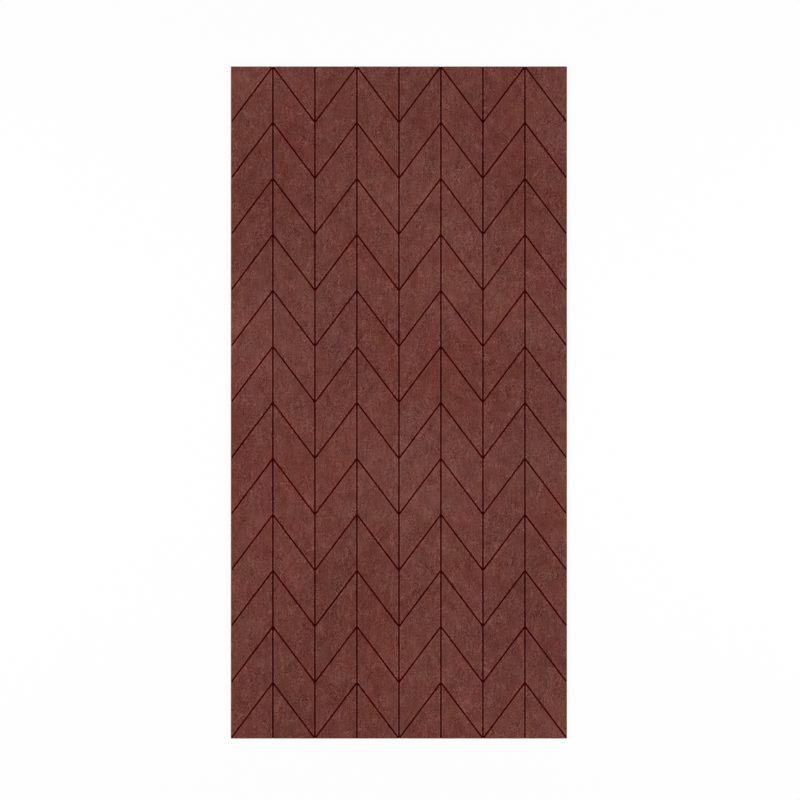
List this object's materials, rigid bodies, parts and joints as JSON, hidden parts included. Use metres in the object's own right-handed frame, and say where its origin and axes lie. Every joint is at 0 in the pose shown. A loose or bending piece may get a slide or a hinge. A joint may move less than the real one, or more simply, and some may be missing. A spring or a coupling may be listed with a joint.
{
  "type": "felt wall panel",
  "caption": "Rectangular board of pressed felt with a chevron pattern of V-grooves cut into its face, glued flat to a wall as sound-absorbing cladding.",
  "frame": {"origin": "middle of the back face, which lies on the floor as stored and against the wall in use", "axes": "+Z out of the grooved face, +Y along the length and up the panel as it hangs, +X across its width"},
  "size_m": [1.2, 2.4, 0.012],
  "materials": {
    "felt": "matt needle-punched felt, dark brick red with paler and darker fibres mixed in"
  },
  "bodies": {
    "root": {"felt_panel": "felt"}
  },
  "joints": []
}
